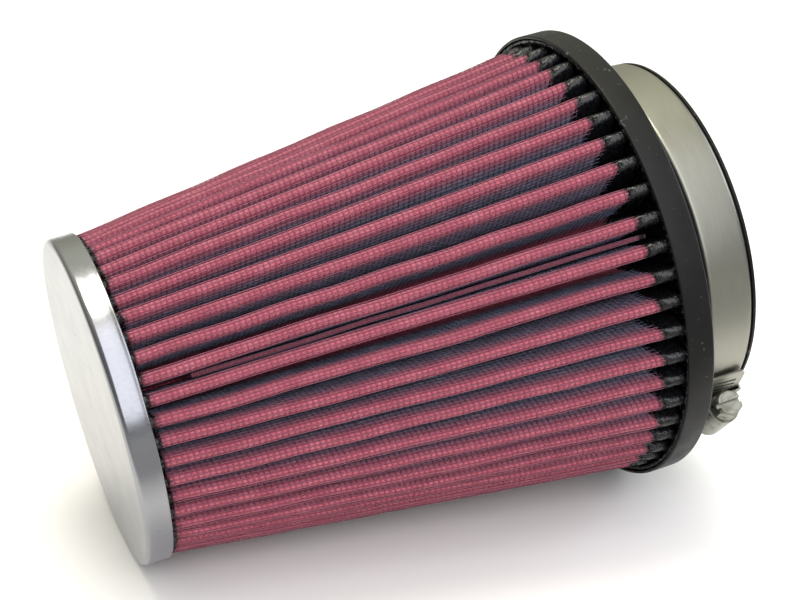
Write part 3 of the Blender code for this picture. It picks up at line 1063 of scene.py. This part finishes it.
@dataclass
class PleatedPack:
    """The folded pack: cotton gauze between two wire screens, its seam and its sealed ends."""

    shape: PleatShape = field(default_factory=PleatShape)
    gauze_inset: float = 0.27 * MM
    gauze_thickness: float = 0.22 * MM
    inner_gauze_inset: float = 0.58 * MM
    inner_screen_inset: float = 1.08 * MM
    bottom: float = 4.0 * MM
    top: float = 141.4 * MM
    rows: int = 62
    sealed_ragged: float = 0.28 * MM  # spread of the sealant's edge within a fold
    sealed_step: float = 0.35 * MM  # and from fold to fold
    sealed_slope: float = 1.6 * MM  # width of the slope behind that edge
    sealed_lift: float = 0.42 * MM  # how far out the skin rises over the slope
    around_bend: int = 5           # steps on each half of a crest
    on_flank: int = 4
    around_valley: int = 2
    seam_top: float = 3.0 * MM     # below the crests
    seam_foot: float = 9.0 * MM
    seam_start: float = 20.0 * MM
    seam_end: float = 137.0 * MM
    seam_half: float = 0.48 * MM
    seam_rows: int = 60
    seam_waver: float = 0.16 * MM  # how far the seam wanders to the side
    seam_wire: float = 0.1 * MM    # radius of its wires
    seam_edges: tuple[int, int] = (1, 7)  # columns of its section that wires run along

    def spots(self) -> tuple[Array, Array]:
        """Places along all the folds, closest together on the bends.

        Returns:
            Distance along its fold and number of its fold for each place, as one row.
        """
        shape = self.shape
        over = 0.5 * math.pi * shape.crest_bend
        half = shape.half_fold()
        under = 0.5 * math.pi * shape.valley_bend
        side = np.concatenate([
            np.linspace(0.0, over, self.around_bend, endpoint=False),
            np.linspace(over, half - under, self.on_flank, endpoint=False),
            np.linspace(half - under, half, self.around_valley + 1),
        ])
        fold = np.concatenate([-side[:0:-1], side[:-1]])
        pleat = np.repeat(np.arange(shape.pleats), len(fold))
        return np.tile(fold, shape.pleats)[None], pleat[None]

    def sleeve(self, outer: Array, inner: Array, counts: Array | None = None) -> Skin:
        """Close the space between two folded walls.

        Args:
            outer: Points of the outer wall, as rows by points by 3.
            inner: Points of the inner wall.
            counts: Pattern coordinates of the outer wall's points.

        Returns:
            The closed skin.
        """
        points = np.concatenate([outer, inner[::-1]])
        faces = grid_faces(len(points), points.shape[1], True, True)
        pattern = None
        if counts is not None:
            pattern = np.concatenate([counts, counts[: len(inner)][::-1]])
        return Skin(points, faces, pattern)

    def build_gauze(self, bench: Bench, outer_screen: Screen, inner_screen: Screen) -> None:
        """Build the gauze that shows through the two screens."""
        along, pleat = self.spots()
        height = np.linspace(self.bottom, self.top, self.rows)[:, None]
        for name, inset, screen, stands_for in (
            ("gauze_outside", self.gauze_inset, outer_screen, ["gauze_ply_1", "gauze_ply_2"]),
            ("gauze_inside", self.inner_gauze_inset, inner_screen, ["gauze_ply_3", "gauze_ply_4"]),
        ):
            outer = self.shape.point(along, inset, height, pleat)
            inner = self.shape.point(along, inset + self.gauze_thickness, height, pleat)
            cloth = self.sleeve(outer, inner, screen.counts(along, height, pleat))
            bench.add(name, cloth, OiledGauze(), Slot.OILED_COTTON, stands_for)

    def build_sealed_ends(self, bench: Bench) -> None:
        """Build the skins of sealant that have run up the pleats from both ends."""
        along, pleat = self.spots()
        half = self.shape.half_fold()
        draw = np.random.default_rng(23)
        ragged = draw.normal(0.0, self.sealed_ragged, along.shape)
        ragged = 0.5 * ragged + 0.25 * (np.roll(ragged, 1, 1) + np.roll(ragged, -1, 1))
        fold_by_fold = draw.normal(0.0, self.sealed_step, self.shape.pleats)[pleat]
        climb = np.clip(np.abs(along) / half * 3.0, 0.0, 1.0)
        for name, root, crest_edge, valley_edge in (
            ("sealed_pleats_large_end", 141.45 * MM, 135.9 * MM, 132.8 * MM),
            ("sealed_pleats_small_end", 4.6 * MM, 8.3 * MM, 9.4 * MM),
        ):
            edge = crest_edge + (valley_edge - crest_edge) * climb + ragged + fold_by_fold
            share = np.linspace(0.0, 1.0, 12)[:, None] ** 1.4
            height = edge + (root - edge) * share
            away = np.abs(height - edge)
            rise = np.clip(away / self.sealed_slope, 0.0, 1.0)
            rise = rise * rise * (3.0 - 2.0 * rise)
            inset = self.gauze_inset + 0.02 * MM - rise * self.sealed_lift
            outer = self.shape.point(along, inset, height, pleat)
            inner = self.shape.point(along, self.gauze_inset + 0.1 * MM, height[::4], pleat)
            bench.add(name, self.sleeve(outer, inner), CastSealant(), Slot.SEALANT)

    def build_seam(self, bench: Bench) -> None:
        """Build the low narrow fold where the ends of the sheet are joined, with its wires."""
        shape = self.shape
        clock = shape.first_crest - math.pi / shape.pleats
        heights = np.linspace(self.seam_start, self.seam_end, self.seam_rows)
        bend = np.radians(np.linspace(-90.0, 90.0, 7))
        draw = np.random.default_rng(31)
        waver = np.interp(heights, np.linspace(self.seam_start, self.seam_end, 9),
                          draw.normal(0.0, self.seam_waver, 9))

        def ring(extra: float, at: Array, shift: Array) -> Array:
            """The fold's section at some heights, with its skin moved out by extra."""
            half = self.seam_half + extra
            crest = shape.crest_radius(at)[:, None]
            crown = crest - self.seam_top - self.seam_half + half * np.cos(bend)[None]
            across = half * np.sin(bend)[None] + shift[:, None]
            foot = crest - self.seam_foot
            radius = np.concatenate([foot, crown, foot], axis=1)
            side = np.concatenate([across[:, :1], across, across[:, -1:]], axis=1)
            turn = clock + shape.leaning(clock, at)[:, None] + side / radius
            level = np.repeat(at[:, None], radius.shape[1], axis=1)
            return np.stack([radius * np.cos(turn), radius * np.sin(turn), level], axis=-1)

        fold = ring(0.0, heights, waver)
        columns = fold.shape[1]
        faces = grid_faces(len(heights), columns, False, True).tolist()
        faces.append(list(range(columns))[::-1])
        faces.append([(len(heights) - 1) * columns + i for i in range(columns)])
        across = np.linspace(0.0, 6.0, columns)[None]
        counts = np.broadcast_arrays(across, heights[:, None] / WIRE_PITCH)
        cloth = Skin(fold, faces, np.stack(counts, axis=-1))
        # painted shade: the seam's gauze turns dark purple down its low fold
        seam_gauze_painted_shade = OiledGauze(name="cotton_gauze_oiled_painted_seam_shade", valley="#2C1C26")
        bench.add("seam_fold", cloth, seam_gauze_painted_shade, Slot.OILED_COTTON, ["seam_strip"], crease=35.0)
        rows = np.arange(self.seam_start + MM, self.seam_end - MM, WIRE_PITCH)
        hoops = ring(0.04 * MM, rows, np.interp(rows, heights, waver))
        level = np.zeros_like(hoops)
        level[..., 2] = 1.0
        runs = ring(0.05 * MM, heights, waver)[:, self.seam_edges].transpose(1, 0, 2)
        out = runs * np.array([1.0, 1.0, 0.0])
        wires = joined([
            tubes(hoops, level, self.seam_wire, closed=False),
            tubes(runs, out, self.seam_wire, closed=False),
        ])
        bench.add("seam_wires", wires, CoatedWire(), Slot.COATED_MESH)

    def build(self, bench: Bench) -> None:
        """Build the whole pack."""
        outer = Screen("outer_screen", self.shape, 0.0)
        inner = Screen("inner_screen", self.shape, self.inner_screen_inset, from_valley=True)
        outer.build(bench, "outer_screen")
        inner.build(bench, "inner_screen")
        self.build_gauze(bench, outer, inner)
        self.build_sealed_ends(bench)
        self.build_seam(bench)


@dataclass
class RubberBase:
    """The moulded ring with its thin front lip and its neck, and the sealant in its channel."""

    radius: float = 63.5 * MM
    lip: float = 62.6 * MM
    front: float = 140.0 * MM
    back: float = 147.6 * MM
    channel: float = 143.9 * MM
    bore: float = 44.45 * MM
    neck: float = 48.3 * MM
    mouth: float = 169.0 * MM
    bead: float = 49.0 * MM
    bead_width: float = 1.0 * MM
    gap: float = 0.3 * MM
    rim: float = 61.3 * MM         # inside of the sealant that stands outside the crests
    rim_top: float = 140.3 * MM
    sealant_depth: float = 1.8 * MM
    lump: float = 0.22 * MM        # height of the lumps in the sealant
    segments: int = 240
    seed: int = 41

    def build_moulding(self, bench: Bench) -> None:
        """Build the rubber, with a bead at the mouth that keeps the clamp on."""
        bead_start = self.mouth - self.bead_width
        outline = [
            (self.lip, self.front), (self.radius, self.front), (self.radius, self.back),
            (self.neck, self.back), (self.neck, bead_start), (self.bead, bead_start),
            (self.bead, self.mouth), (self.bore, self.mouth), (self.bore, self.channel),
            (self.lip, self.channel),
        ]
        radii = [0.2, 0.55, 0.8, 1.6, 0.1, 0.2, 0.8, 0.7, 0.2, 0.2]
        line = filleted(outline, [r * MM for r in radii])
        ring = turned(line, self.segments)
        bench.add(
            "rubber_base_moulded", ring, MouldedRubber(), Slot.RUBBER, ["rubber_base"], crease=35.0
        )

    def build_sealant(self, bench: Bench) -> None:
        """Build the sealant, lumpy where it stands up between the crests and the lip."""
        top = self.channel - self.gap
        bottom = top - self.sealant_depth
        outer = self.lip - self.gap
        outline = [
            (self.bore, bottom), (self.rim, bottom), (self.rim, self.rim_top),
            (outer, self.rim_top), (outer, top), (self.bore, top),
        ]
        line = filleted(outline, [r * MM for r in (0.1, 0.3, 0.35, 0.2, 0.1, 0.1)], 4)
        segments = 3 * self.segments
        skin = turned(line, segments)
        points = skin.points.reshape(len(line), segments, 3)
        draw = np.random.default_rng(self.seed)
        clocks = np.arange(segments) * 2.0 * math.pi / segments
        lumps = np.zeros(segments)
        for wave in draw.integers(40, 230, 14):
            lumps += np.sin(wave * clocks + draw.uniform(0.0, 2.0 * math.pi)) / 14.0**0.5
        stands = np.clip((bottom - points[..., 2]) / (bottom - self.rim_top), 0.0, 1.0)
        points[..., 2] += self.lump * np.clip(lumps, -1.6, 1.0) * stands
        bench.add(
            "sealant_poured", skin, CastSealant(), Slot.SEALANT, ["base_potting"], crease=60.0
        )

    def build(self, bench: Bench) -> None:
        """Build the base and its sealant."""
        self.build_moulding(bench)
        self.build_sealant(bench)


@dataclass
class BandClamp:
    """The worm-drive clamp round the neck."""

    screw_clock: float
    screw_radius: float
    middle: float = 161.35 * MM
    width: float = 12.7 * MM
    strip: float = 0.6 * MM
    band_radius: float = 48.55 * MM
    neck: float = 48.3 * MM
    curl: float = 1.15 * MM        # how far in from its edge the band starts to curl
    curl_depth: float = 0.8        # depth of the curl's arc, as a share of that
    curl_turns: tuple[float, float] = (8.0, 68.0)  # degrees of the arc that the curl takes
    crown: float = 0.03 * MM       # how far the middle of the band stands out
    neck_gap: float = 0.06 * MM    # least gap between the band's inside and the neck
    band_from: float = math.radians(150.0)
    band_to: float = math.radians(172.0 - 360.0)
    tail_radius: float = 50.05 * MM
    tail_from: float = math.radians(120.0)
    tail_to: float = math.radians(191.0)
    slot_pitch: float = 2.1 * MM
    slot_width: float = 0.95 * MM
    slot_half: float = 4.1 * MM
    saddle_radius: float = 49.4 * MM
    housing_half: float = 6.5 * MM
    mouth_turn: float = 158.0      # most that its inside wraps round the worm, to each side
    lip_turn: float = 105.0        # how far its end lips reach round, to each side
    lip_in: float = 0.22 * MM      # how far a lip reaches in from the housing's end
    lip_out: float = 0.02 * MM     # and how far it stands out
    sheet: float = 0.6 * MM
    gap: float = 0.25 * MM
    worm: float = 3.6 * MM
    root: float = 2.75 * MM
    shank: float = 2.2 * MM
    head: float = 3.5 * MM         # half the distance across the flats
    head_length: float = 4.5 * MM
    worm_rows: int = 130
    worm_steps: int = 48

    def housing_place(self, radius: float) -> Matrix:
        """Matrix at the housing: x out from the axis, y along it, z along the screw to its head."""
        out = Vector((math.cos(self.screw_clock), math.sin(self.screw_clock), 0.0))
        along = Vector((0.0, 0.0, 1.0))
        turn = Matrix((out, along, out.cross(along))).transposed().to_4x4()
        return Matrix.Translation(out * radius + along * self.middle) @ turn

    def build_band(self, bench: Bench) -> None:
        """Build the band, whose two edges curl in onto the rubber."""
        half = 0.5 * self.width
        flat = half - self.curl
        outside: Outline = []
        for share in np.linspace(-1.0, 1.0, 9):
            outside.append((self.band_radius + self.strip + self.crown * (1.0 - share * share),
                            self.middle + flat * share))
        bends = np.radians(np.linspace(*self.curl_turns, 7))
        deep = self.curl_depth * self.curl
        drop = [(float(self.curl * math.sin(a)), float(deep * (1.0 - math.cos(a)))) for a in bends]
        outer = self.band_radius + self.strip
        high = [(outer - down, self.middle + flat + out) for out, down in drop]
        low = [(outer - down, self.middle - flat - out) for out, down in drop[::-1]]
        floor = self.neck + self.neck_gap
        inside = [(max(floor, r - self.strip), h) for r, h in (low + outside + high)[::-1][::2]]
        section = low + outside + high + inside
        band = swept(section, np.linspace(self.band_from, self.band_to, 240))
        bench.add(
            "clamp_band_rolled", band, RolledStrip(), Slot.CLAMP_STEEL, ["clamp_band"],
            Body.CLAMP, crease=40.0,
        )

    def build_tail(self, bench: Bench) -> None:
        """Build the slotted free end of the band."""
        length = (self.tail_to - self.tail_from) * self.tail_radius
        steps = [0.0, 1.0 * MM, 3.0 * MM]
        openings = [False, False]
        while steps[-1] + self.slot_pitch < length - 3.0 * MM:
            steps += [steps[-1] + self.slot_width, steps[-1] + self.slot_pitch]
            openings += [True, False]
        steps.append(length)
        openings.append(False)
        half = 0.5 * self.width
        across = [-half, -self.slot_half, self.slot_half, half]
        lean = self.slot_pitch / (2.0 * math.pi * self.worm)
        count = len(steps)

        def corner(layer: int, row: int, column: int) -> tuple[float, float, float]:
            """Place of one corner of the strip."""
            radius = self.tail_radius + layer * self.strip
            side = across[column] * (0.8 if row == 0 else 1.0)
            ends = 0.0 if row in (0, count - 1) else 1.0
            clock = self.tail_from + (steps[row] + ends * lean * side) / self.tail_radius
            return radius * math.cos(clock), radius * math.sin(clock), self.middle + side

        points = [corner(k, i, j) for k in (0, 1) for i in range(count) for j in range(4)]

        def number(layer: int, row: int, column: int) -> int:
            """Number of one corner."""
            return (layer * count + row) * 4 + column

        def solid(row: int, column: int) -> bool:
            """Whether there is steel between two steps in one of the three lanes."""
            if not (0 <= row < count - 1 and 0 <= column < 3):
                return False
            return not (openings[row] and column == 1)

        faces = []
        for row in range(count - 1):
            for column in range(3):
                if not solid(row, column):
                    continue
                a, b = (row, column), (row, column + 1)
                c, d = (row + 1, column + 1), (row + 1, column)
                faces.append([number(1, *p) for p in (a, d, c, b)])
                faces.append([number(0, *p) for p in (a, b, c, d)])
                for p, q, other in (
                    (a, b, (row - 1, column)), (b, c, (row, column + 1)),
                    (c, d, (row + 1, column)), (d, a, (row, column - 1)),
                ):
                    if not solid(*other):
                        faces.append([number(0, *q), number(0, *p), number(1, *p), number(1, *q)])
        bench.add(
            "clamp_tail_slotted", Skin(np.array(points), faces), RolledStrip(), Slot.CLAMP_STEEL,
            ["clamp_tail"], Body.BAND_END, crease=30.0, edge=0.07 * MM,
        )

    def build_housing(self, bench: Bench) -> None:
        """Build the pressed housing over the worm, with a lip at each end that holds it in."""
        edge = 0.5 * self.width + self.gap
        foot = self.saddle_radius
        roof = self.tail_radius + self.strip + self.gap
        shoulder = roof + self.sheet
        inner = self.worm + 0.3 * MM
        outer = inner + self.sheet
        centre = (self.screw_radius, 0.0)
        start = shoulder - self.screw_radius
        low = math.degrees(math.acos(start / outer))
        over = arc(centre, outer, -low, low, 36)
        turn = math.degrees(math.acos((roof - self.screw_radius) / inner))
        turn = min(turn, self.mouth_turn)
        under = arc(centre, inner, turn, -turn, 30)
        outline = [(foot, -edge - self.sheet), (shoulder, -edge - self.sheet)]
        outline += over
        outline += [(shoulder, edge + self.sheet), (foot, edge + self.sheet)]
        outline += [(foot, edge), (roof, edge)]
        outline += under
        outline += [(roof, -edge), (foot, -edge)]
        radii = [0.15] + [0.5] + [0.0] * len(over) + [0.5, 0.15, 0.1, 0.2]
        radii += [0.0] * len(under) + [0.2, 0.1]
        line = filleted(outline, [r * MM for r in radii], 4)
        half = self.housing_half
        skins = [prism(line, -half, half)]
        lip = arc(centre, outer - 0.1 * MM, -self.lip_turn, self.lip_turn, 24)
        lip += arc(centre, self.shank + 0.35 * MM, self.lip_turn, -self.lip_turn, 24)
        skins += [prism(lip, half - self.lip_in, half + self.lip_out)]
        skins += [prism(lip, -half - self.lip_out, -half + self.lip_in)]
        bench.add(
            "clamp_housing_pressed", joined(skins), PlatedSteel(), Slot.CLAMP_STEEL,
            ["clamp_housing"], Body.CLAMP, self.housing_place(0.0), crease=30.0, edge=0.1 * MM,
        )
        bench.keep("clamp_saddle", RolledStrip())

    def worm_skin(self) -> Skin:
        """The worm's thread as one turned skin with a running ridge, and its shank and point."""
        half = self.housing_half - 0.3 * MM
        steps = self.worm_steps
        rows = np.linspace(-half, half, self.worm_rows)
        turns = np.arange(steps) * 2.0 * math.pi / steps
        phase = (rows[:, None] / self.slot_pitch - turns[None] / (2.0 * math.pi)) % 1.0
        ridge = np.clip(2.4 - np.abs(phase - 0.5) * 6.5, 0.0, 1.0)
        fade = np.clip((half - np.abs(rows)) / (0.8 * MM), 0.0, 1.0)[:, None]
        radius = self.root + (self.worm - 0.02 * MM - self.root) * ridge * fade
        collar = half + 0.6 * MM
        before = [(0.0, -half - 1.3 * MM), (1.3 * MM, -half - 1.3 * MM),
                  (self.shank, -half - 0.7 * MM), (self.shank, -half - 0.02 * MM)]
        after = [(self.shank, half + 0.02 * MM), (self.shank, collar + 0.3 * MM),
                 (0.0, collar + 0.3 * MM)]
        radii = [np.full(steps, r) for r, _ in before[1:]] + list(radius)
        radii += [np.full(steps, r) for r, _ in after[:-1]]
        levels = [z for _, z in before[1:]] + list(rows) + [z for _, z in after[:-1]]
        wall = np.stack(
            [np.array(radii) * np.cos(turns), np.array(radii) * np.sin(turns),
             np.repeat(np.array(levels)[:, None], steps, axis=1)], axis=-1,
        ).reshape(-1, 3)
        faces = grid_faces(len(levels), steps, False, True).tolist()
        top = (len(levels) - 1) * steps
        ends = np.array([[0.0, 0.0, before[0][1]], [0.0, 0.0, after[-1][1]]])
        for i in range(steps):
            j = (i + 1) % steps
            faces.append([len(wall), j, i])
            faces.append([len(wall) + 1, top + i, top + j])
        return Skin(np.concatenate([wall, ends]), faces)

    def head_mesh(self) -> bpy.types.Mesh:
        """The hexagon head: a flange, chamfered corners and a slot for a screwdriver."""
        bottom = self.housing_half + 0.3 * MM
        top = bottom + self.head_length
        corner = self.head / math.cos(math.pi / 6.0)
        hexagon = prism(arc((0.0, 0.0), corner, 0.0, 300.0, 5), bottom + 0.7 * MM, top)
        dome = turned(
            [(0.0, bottom), (corner + 1.0 * MM, bottom), (corner + 1.0 * MM, top - 1.3 * MM),
             (corner, top - 0.75 * MM), (self.head - 0.35 * MM, top), (0.0, top)],
            64, open_ends=True,
        )
        blade = prism(
            [(-0.6 * MM, -6.0 * MM), (0.6 * MM, -6.0 * MM), (0.6 * MM, 6.0 * MM),
             (-0.6 * MM, 6.0 * MM)], top - 1.5 * MM, top + 1.0 * MM,
        )
        flange = turned(
            [(0.0, bottom), (3.75 * MM, bottom), (3.95 * MM, bottom + 0.2 * MM),
             (3.95 * MM, bottom + 0.6 * MM), (3.6 * MM, bottom + 0.95 * MM),
             (0.0, bottom + 0.95 * MM)], 64, open_ends=True,
        )
        blank = bpy.data.objects.new("blank", hexagon.mesh("head_blank", 30.0))
        bpy.context.scene.collection.objects.link(blank)
        tools = []
        for tool, how in ((dome, "INTERSECT"), (flange, "UNION"), (blade, "DIFFERENCE")):
            cutter = bpy.data.objects.new("cutter", tool.mesh("cutter", 30.0))
            bpy.context.scene.collection.objects.link(cutter)
            cut = blank.modifiers.new("cut", "BOOLEAN")
            cut.operation = how
            cut.solver = "EXACT"
            cut.object = cutter
            tools.append(cutter)
        bpy.context.view_layer.update()
        graph = bpy.context.evaluated_depsgraph_get()
        made = bpy.data.meshes.new_from_object(blank.evaluated_get(graph))
        for old in [blank, *tools]:
            bpy.data.objects.remove(old)
        made.name = "clamp_screw_head"
        made.materials.clear()
        made.shade_smooth()
        made.set_sharp_from_angle(angle=math.radians(30.0))
        return made

    def build_screw(self, bench: Bench) -> None:
        """Build the worm and its head."""
        place = self.housing_place(self.screw_radius)
        bench.add(
            "clamp_screw_worm", self.worm_skin(), PlatedSteel(), Slot.SCREW_STEEL,
            ["clamp_screw"], Body.SCREW, place, crease=50.0,
        )
        bench.add(
            "clamp_screw_head", self.head_mesh(), PlatedSteel(), Slot.SCREW_STEEL, (),
            Body.SCREW, place, edge=0.1 * MM,
        )

    def build(self, bench: Bench) -> None:
        """Build the whole clamp."""
        self.build_band(bench)
        self.build_tail(bench)
        self.build_housing(bench)
        self.build_screw(bench)


# ---------------------------------------------------------------------------------------------
# The studio
# ---------------------------------------------------------------------------------------------


@dataclass
class SoftLight:
    """A softbox that faces the filter."""

    name: str
    azimuth: float                 # degrees from +y towards +x
    elevation: float               # degrees
    distance: float
    width: float
    height: float
    watts: float
    colour: str = "#FFFFFF"
    mirrored: bool = True          # whether reflections show it

    def build(self, target: Vector) -> None:
        """Hang the softbox and turn it to the target."""
        lamp = bpy.data.lights.new(self.name, "AREA")
        lamp.shape = "RECTANGLE"
        lamp.size = self.width
        lamp.size_y = self.height
        lamp.energy = self.watts
        lamp.color = linear(self.colour)[:3]
        holder = bpy.data.objects.new(self.name, lamp)
        bpy.context.scene.collection.objects.link(holder)
        side, up = math.radians(self.azimuth), math.radians(self.elevation)
        away = Vector((math.sin(side) * math.cos(up), math.cos(side) * math.cos(up), math.sin(up)))
        holder.location = target + away * self.distance
        holder.rotation_euler = (-away).to_track_quat("-Z", "Y").to_euler()
        holder.visible_camera = False
        holder.visible_glossy = self.mirrored


@dataclass
class Studio:
    """A pale floor, soft light and the camera."""

    cap_face: Vector
    aim: Vector = field(default_factory=lambda: Vector((90.1, 10.0, 11.1)) * MM)
    azimuth: float = 22.03         # degrees from +y towards +x, the way the camera looks
    elevation: float = 22.81
    distance: float = 0.5
    lens: float = 80.7             # mm on a 36 mm sensor
    floor_half: float = 4.0
    floor_colour: str = "#F1F0EE"
    brightest: Vector = field(default_factory=lambda: Vector((0.0, 0.5, 0.866)))
    tent: tuple[tuple[float, str], ...] = (
        (0.0, "#8C8E90"), (0.4, "#96989A"), (0.66, "#C4C3B4"), (0.8, "#DEDCC6"), (0.9, "#FFFFEA")
    )
    tent_strength: float = 0.9
    flag_to: float = -1.2          # y of the far edge of the grey card
    flag_side: float = 1.0         # half of its width
    flag_level: float = 0.2 * MM

    @property
    def target(self) -> Vector:
        """The point that the camera and the lights face."""
        return self.cap_face + self.aim

    def lay(
        self, name: str, side: float, near: float, far: float, level: float, finish: Finish
    ) -> bpy.types.Object:
        """Lay a flat sheet.

        Args:
            name: The sheet's name.
            side: Half of its width along x.
            near: The y of one edge.
            far: The y of the other edge.
            level: Its height.
            finish: Its finish.

        Returns:
            The sheet.
        """
        corners = [(-side, near), (side, near), (side, far), (-side, far)]
        mesh = bpy.data.meshes.new(name)
        mesh.from_pydata([(x, y, level) for x, y in corners], [], [(0, 1, 2, 3)])
        mesh.materials.append(finish.material())
        sheet = bpy.data.objects.new(name, mesh)
        bpy.context.scene.collection.objects.link(sheet)
        return sheet

    def build_floor(self) -> None:
        """Lay the floor."""
        half = self.floor_half
        paper = Finish("paper_matt_white", self.floor_colour, 0.0, 0.85)
        self.lay("floor", half, -half, half, 0.0, paper)

    def build_flag(self) -> None:
        """Lay a grey card in front of the filter, which only reflections see."""
        felt = GreyFelt(paper=self.floor_colour)
        flag = self.lay("flag", self.flag_side, self.flag_to, felt.starts, self.flag_level, felt)
        flag.visible_camera = False
        flag.visible_diffuse = False
        flag.visible_shadow = False
        flag.visible_transmission = False

    def build_sky(self) -> None:
        """Surround the floor with a white tent that is bright above and behind, and dim in front."""
        world = bpy.data.worlds.new("room")
        bpy.context.scene.world = world
        world.use_nodes = True
        tree = world.node_tree
        background = tree.nodes["Background"]
        place = add_node(tree, "TexCoord", out="Generated")
        towards = {0: place, 1: self.brightest}
        share = add_node(tree, "VectorMath", towards, "Value", operation="DOT_PRODUCT")
        tone = add_node(tree, "ValToRGB", {"Fac": share}, stops=self.tent)
        tree.links.new(tone, background.inputs["Color"])
        background.inputs["Strength"].default_value = self.tent_strength

    def build_camera(self) -> None:
        """Set up the camera."""
        data = bpy.data.cameras.new("camera")
        data.lens = self.lens
        data.sensor_width = 36.0
        data.sensor_fit = "HORIZONTAL"
        camera = bpy.data.objects.new("camera", data)
        bpy.context.scene.collection.objects.link(camera)
        side, down = math.radians(self.azimuth), math.radians(self.elevation)
        look = Vector(
            (math.sin(side) * math.cos(down), math.cos(side) * math.cos(down), -math.sin(down))
        )
        camera.location = self.target - look * self.distance
        camera.rotation_euler = look.to_track_quat("-Z", "Y").to_euler()
        bpy.context.scene.camera = camera

    def build(self) -> None:
        """Build the studio."""
        bpy.context.scene.view_settings.view_transform = "Standard"
        self.build_floor()
        self.build_flag()
        self.build_sky()
        self.build_camera()
        for light in (
            SoftLight("overhead", -55.0, 78.0, 0.95, 0.42, 0.42, 4.4, "#FFFBEE"),
            SoftLight("front_box", 178.0, 42.0, 0.9, 0.62, 1.2, 5.8, "#FAFAFF"),
            SoftLight("side_panel", 96.0, 27.0, 1.0, 0.6, 0.4, 3.6, "#F2F6FF"),
            SoftLight("back_fill", 36.0, 62.0, 1.6, 1.4, 1.0, 9.2, "#FDFDFF", False),
            SoftLight("front_fill", 195.0, 30.0, 1.2, 1.0, 0.8, 6.8, "#FFFCFC", False),
        ):
            light.build(self.target)


# ---------------------------------------------------------------------------------------------


def lying_matrix(record: dict[str, Any]) -> Matrix:
    """The filter's own space in the frame, from the record's mount on the face of the cap.

    Args:
        record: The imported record.

    Returns:
        The matrix from the filter's space to the frame.
    """
    mounts = {mount["name"]: mount for mount in record["mounts"]}
    along = -Vector(mounts["cap_face"]["axis"]).normalized()
    side = Vector((0.0, -1.0, 0.0))
    up = side.cross(along)
    turn = Matrix((up, side, along)).transposed().to_4x4()
    return Matrix.Translation(mounts["cap_face"]["pos_m"]) @ turn


def clamp_at(joints: Sequence[dict[str, Any]], lying: Matrix) -> BandClamp:
    """A clamp whose screw is where the record's screw joint is."""
    screw = next(joint for joint in joints if joint["name"] == "screw_turn")
    spot = lying.inverted() @ Vector(screw["pos_m"])
    return BandClamp(math.atan2(spot.y, spot.x), math.hypot(spot.x, spot.y), spot.z)


def main() -> None:
    """Build every piece of the filter and the studio round it."""
    logging.basicConfig(level=logging.INFO, format="%(name)s: %(message)s")
    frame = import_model()
    lying = lying_matrix(frame["record"])
    bench = Bench(lying, frame["nodes"])
    EndCap().build(bench)
    PleatedPack().build(bench)
    RubberBase().build(bench)
    clamp_at(frame["joints"], lying).build(bench)
    Studio(lying.translation).build()


if __name__ == "__main__":
    main()
